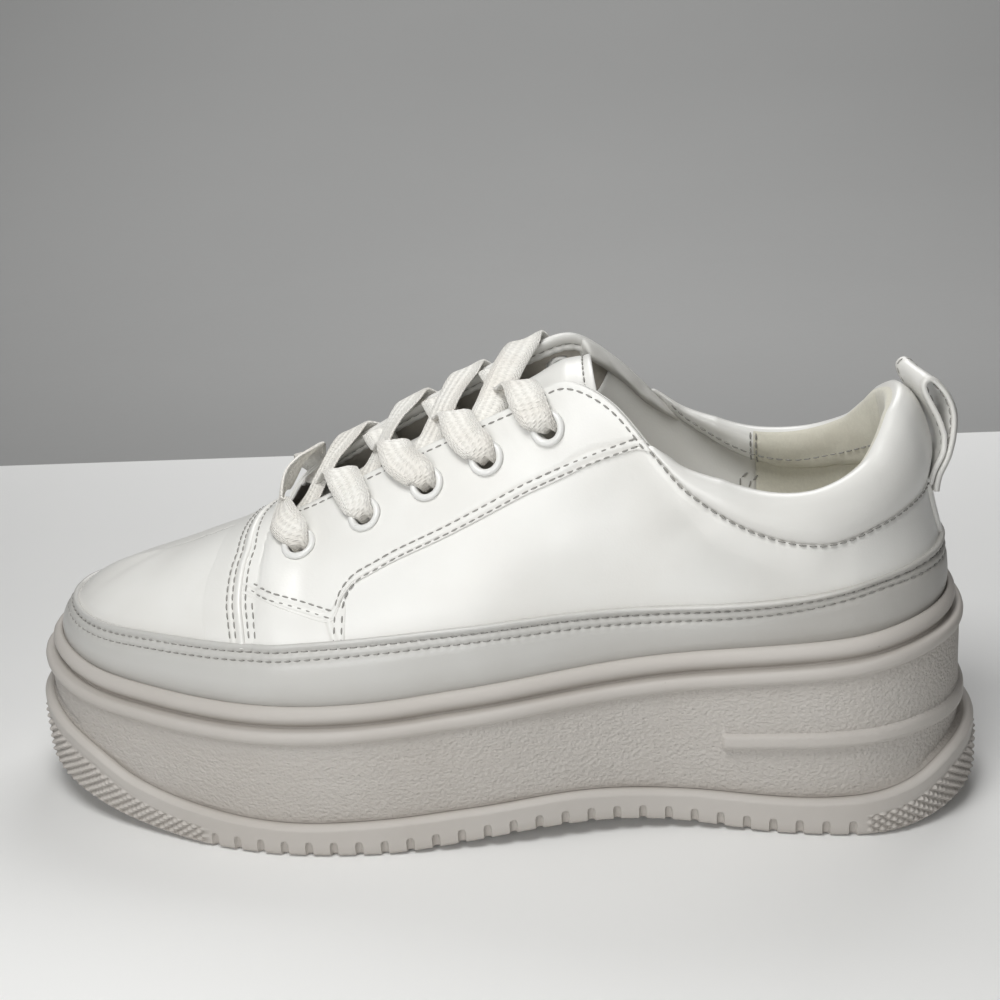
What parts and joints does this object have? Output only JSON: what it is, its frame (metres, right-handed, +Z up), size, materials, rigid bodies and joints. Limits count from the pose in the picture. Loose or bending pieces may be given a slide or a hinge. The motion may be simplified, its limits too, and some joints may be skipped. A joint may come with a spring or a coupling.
{
  "type": "platform sneaker",
  "caption": "low lace-up sneaker on a thick moulded platform with a padded collar, flat laces and a heel pull loop, left shoe",
  "frame": {"origin": "on the ground, under the middle of the shoe's length and width", "axes": "+X from toe to heel, -Y to the little-toe side, +Z up"},
  "size_m": [0.285, 0.1068, 0.1345],
  "materials": {
    "sole_rubber": "moulded foam rubber, fine pebble grain on the wall, smooth ledge and bead",
    "upper_leather": "smooth coated synthetic leather, soft gloss",
    "lining": "brushed microfibre",
    "lace_cotton": "flat woven cotton",
    "eyelet_paint": "white enamel"
  },
  "bodies": {
    "root": {"outsole": "sole_rubber", "midsole": "sole_rubber", "insole": "lining", "upper": "upper_leather", "collar": "upper_leather", "tongue": "upper_leather", "pull_loop": "upper_leather", "lace_bar": "lace_cotton", "lace_cross_1": "lace_cotton", "lace_cross_2": "lace_cotton", "lace_cross_3": "lace_cotton", "lace_cross_4": "lace_cotton", "eyelet_outer_1": "eyelet_paint", "eyelet_outer_2": "eyelet_paint", "eyelet_outer_3": "eyelet_paint", "eyelet_outer_4": "eyelet_paint", "eyelet_outer_5": "eyelet_paint", "eyelet_inner_1": "eyelet_paint", "eyelet_inner_2": "eyelet_paint", "eyelet_inner_3": "eyelet_paint", "eyelet_inner_4": "eyelet_paint", "eyelet_inner_5": "eyelet_paint"}
  },
  "joints": []
}
